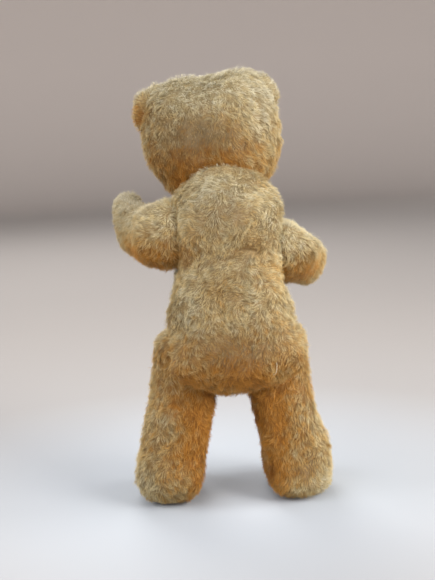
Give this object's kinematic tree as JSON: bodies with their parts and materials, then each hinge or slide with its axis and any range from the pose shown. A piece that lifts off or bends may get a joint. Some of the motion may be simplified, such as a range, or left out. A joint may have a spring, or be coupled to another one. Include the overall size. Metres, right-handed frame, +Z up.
{
  "type": "jointed teddy bear",
  "caption": "Old mohair teddy bear with worn pile, a packed body, felt paw and foot pads, and a head, arms and legs that turn on card discs. It stands.",
  "frame": {"origin": "on the floor, under the middle of the standing bear's box", "axes": "+Z up along the bear; the bear faces -Y and its own left is +X"},
  "size_m": [0.171, 0.1608, 0.3307],
  "materials": {
    "mohair": "worn honey-gold mohair plush",
    "stuffing": "packed wood wool and kapok",
    "felt": "matted wool felt",
    "hardboard": "raw pressed board",
    "steel": "dull steel",
    "eye_glass": "dark amber glass, backed, so it isn't see-through",
    "thread": "black cotton thread"
  },
  "bodies": {
    "torso": {"torso_skin": "mohair", "torso_stuffing": "stuffing", "neck_disc_in_torso": "hardboard", "neck_washer_in_torso": "steel", "neck_split_pin": "steel", "left_shoulder_disc_in_torso": "hardboard", "left_shoulder_washer_in_torso": "steel", "left_shoulder_split_pin": "steel", "right_shoulder_disc_in_torso": "hardboard", "right_shoulder_washer_in_torso": "steel", "right_shoulder_split_pin": "steel", "left_hip_disc_in_torso": "hardboard", "left_hip_washer_in_torso": "steel", "left_hip_split_pin": "steel", "right_hip_disc_in_torso": "hardboard", "right_hip_washer_in_torso": "steel", "right_hip_split_pin": "steel"},
    "head": {"head_skin": "mohair", "head_stuffing": "stuffing", "ear_left": "mohair", "ear_right": "mohair", "eye_left": "eye_glass", "eye_right": "eye_glass", "nose_stitching": "thread", "mouth_stitching": "thread", "neck_disc_in_head": "hardboard", "neck_washer_in_head": "steel"},
    "arm_left": {"arm_left_skin": "mohair", "arm_left_stuffing": "stuffing", "paw_pad_left": "felt", "left_shoulder_disc_in_arm": "hardboard", "left_shoulder_washer_in_arm": "steel"},
    "arm_right": {"arm_right_skin": "mohair", "arm_right_stuffing": "stuffing", "paw_pad_right": "felt", "right_shoulder_disc_in_arm": "hardboard", "right_shoulder_washer_in_arm": "steel"},
    "leg_left": {"leg_left_skin": "mohair", "leg_left_stuffing": "stuffing", "foot_pad_left": "felt", "left_hip_disc_in_leg": "hardboard", "left_hip_washer_in_leg": "steel"},
    "leg_right": {"leg_right_skin": "mohair", "leg_right_stuffing": "stuffing", "foot_pad_right": "felt", "right_hip_disc_in_leg": "hardboard", "right_hip_washer_in_leg": "steel"}
  },
  "joints": [
    {"name": "neck_turn", "type": "hinge", "parent": "torso", "child": "head", "pos_m": [0, 0.023, 0.242], "axis": [0, -0.5, 0.866], "continuous": true},
    {"name": "left_arm_swing", "type": "hinge", "parent": "torso", "child": "arm_left", "pos_m": [0.036, 0.031, 0.209], "axis": [1, 0, 0], "continuous": true},
    {"name": "right_arm_swing", "type": "hinge", "parent": "torso", "child": "arm_right", "pos_m": [-0.036, 0.031, 0.197], "axis": [1, 0, 0], "continuous": true},
    {"name": "left_leg_swing", "type": "hinge", "parent": "torso", "child": "leg_left", "pos_m": [0.0165, 0.029, 0.116], "axis": [-1, 0, 0], "range_deg": [-5, 85]},
    {"name": "right_leg_swing", "type": "hinge", "parent": "torso", "child": "leg_right", "pos_m": [-0.0165, 0.029, 0.116], "axis": [-1, 0, 0], "range_deg": [-5, 85]}
  ]
}
